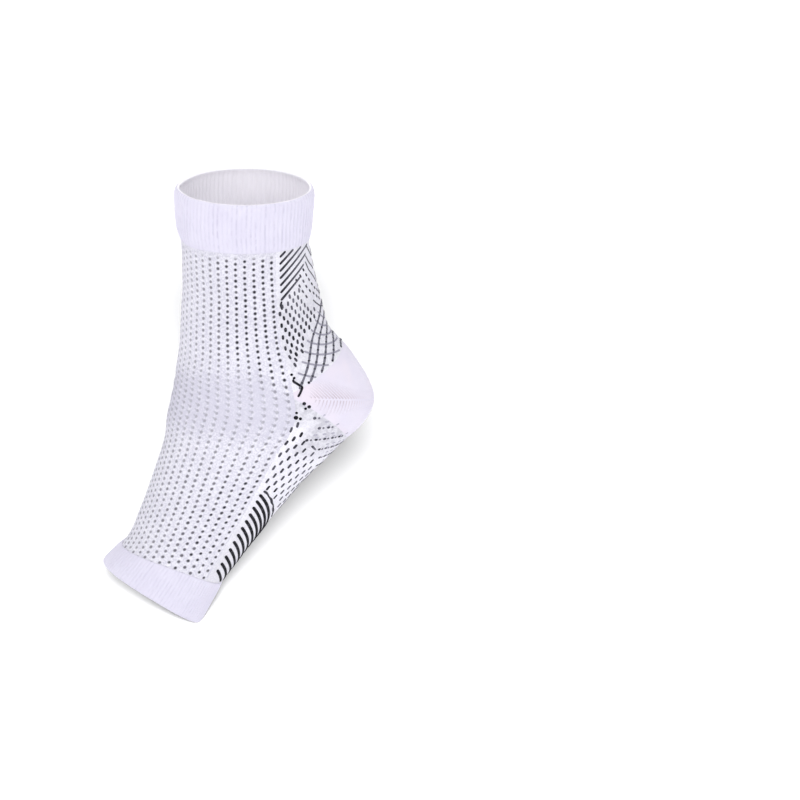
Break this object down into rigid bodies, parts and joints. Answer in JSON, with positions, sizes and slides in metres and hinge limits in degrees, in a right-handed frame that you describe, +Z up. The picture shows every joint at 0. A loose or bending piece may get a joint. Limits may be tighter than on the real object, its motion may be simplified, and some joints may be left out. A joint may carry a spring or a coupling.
{
  "type": "open-toe compression ankle sock",
  "caption": "Knitted open-toe ankle sleeve with a ribbed cuff, a shaped heel pocket, patterned support zones and a ribbed toe band.",
  "frame": {"origin": "centre of the opening at the top of the cuff", "axes": "+Z up the leg, out of the cuff; -X towards the toe opening, +X towards the heel; Y = 0 is the mirror plane"},
  "size_m": [0.1679, 0.0826, 0.2811],
  "materials": {
    "cuff_knit": "matte",
    "body_knit": "matte",
    "achilles_knit": "matte",
    "heel_knit": "matte",
    "sole_knit": "matte",
    "arch_knit": "matte",
    "toe_knit": "matte"
  },
  "bodies": {
    "root": {"cuff_band": "cuff_knit", "instep_body": "body_knit", "achilles_panel": "achilles_knit", "heel_pocket": "heel_knit", "sole_panel": "sole_knit", "arch_panel": "arch_knit", "toe_band": "toe_knit"}
  },
  "joints": []
}
